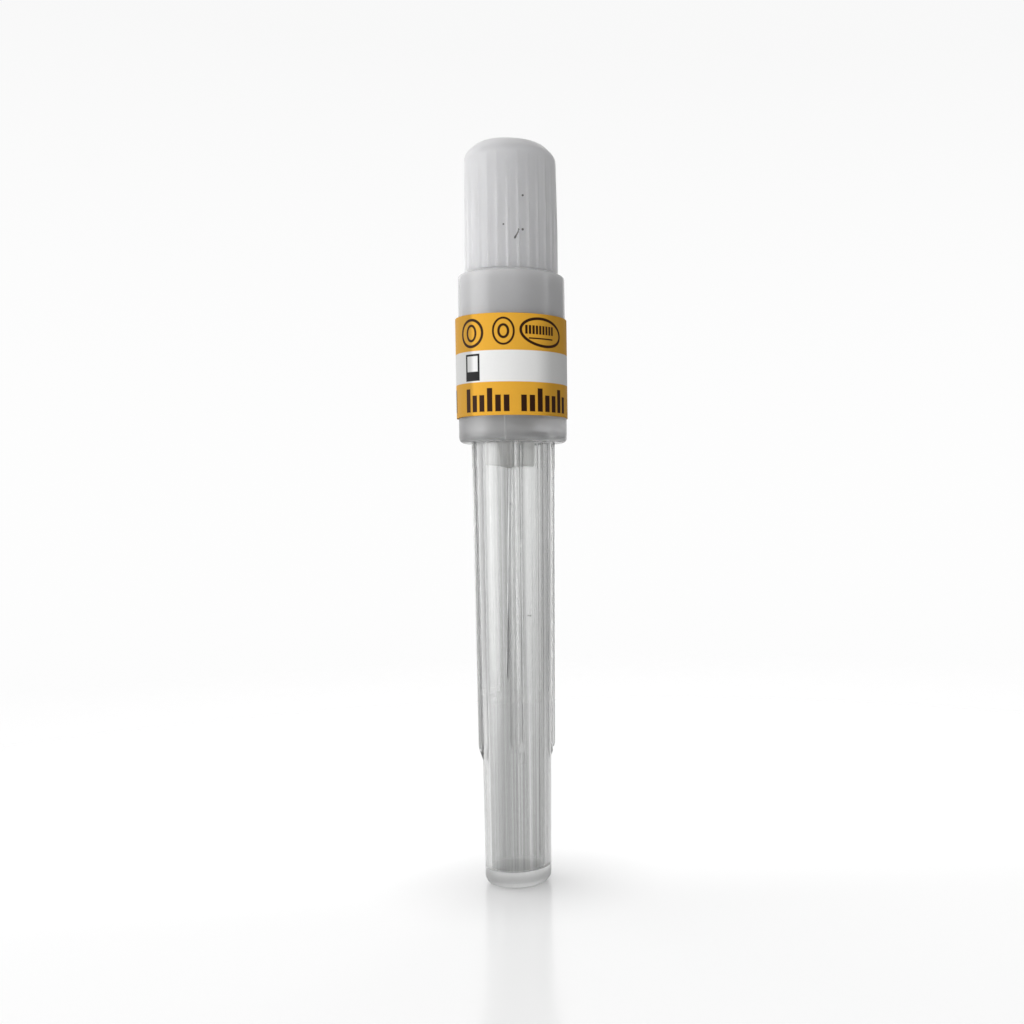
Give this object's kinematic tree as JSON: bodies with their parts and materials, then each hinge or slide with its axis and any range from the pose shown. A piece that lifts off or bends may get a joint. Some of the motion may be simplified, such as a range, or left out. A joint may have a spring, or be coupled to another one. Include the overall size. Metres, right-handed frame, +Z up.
{
  "type": "dental needle in sealed case",
  "caption": "Disposable dental injection needle in its sealed case: clear ribbed sheath, white fluted cap and an amber seal label, standing upright.",
  "frame": {"origin": "centre of the sheath's flat foot, on the surface it stands on", "axes": "+Z up the case's axis towards the cap, -Y towards the viewer of the picture, +X to the viewer's right"},
  "size_m": [0.011, 0.0108, 0.0735],
  "materials": {
    "clear_plastic": "clear, smooth, moulded",
    "white_plastic": "translucent white, satin, moulded",
    "natural_plastic": "natural translucent, satin, moulded",
    "label_paper": "coated paper printed amber, white and amber",
    "cannula_steel": "drawn stainless tube",
    "adhesive": "cured clear adhesive"
  },
  "bodies": {
    "sheath": {"sheath": "clear_plastic", "label": "label_paper"},
    "needle": {"hub": "natural_plastic", "cannula": "cannula_steel", "adhesive": "adhesive"},
    "cap": {"cap": "white_plastic"}
  },
  "joints": [
    {"name": "needle_pull", "type": "slide", "parent": "sheath", "child": "needle", "axis": [0, 0, 1], "range_m": [0, 0.04]},
    {"name": "cap_pull", "type": "slide", "parent": "needle", "child": "cap", "axis": [0, 0, 1], "range_m": [0, 0.018]}
  ]
}
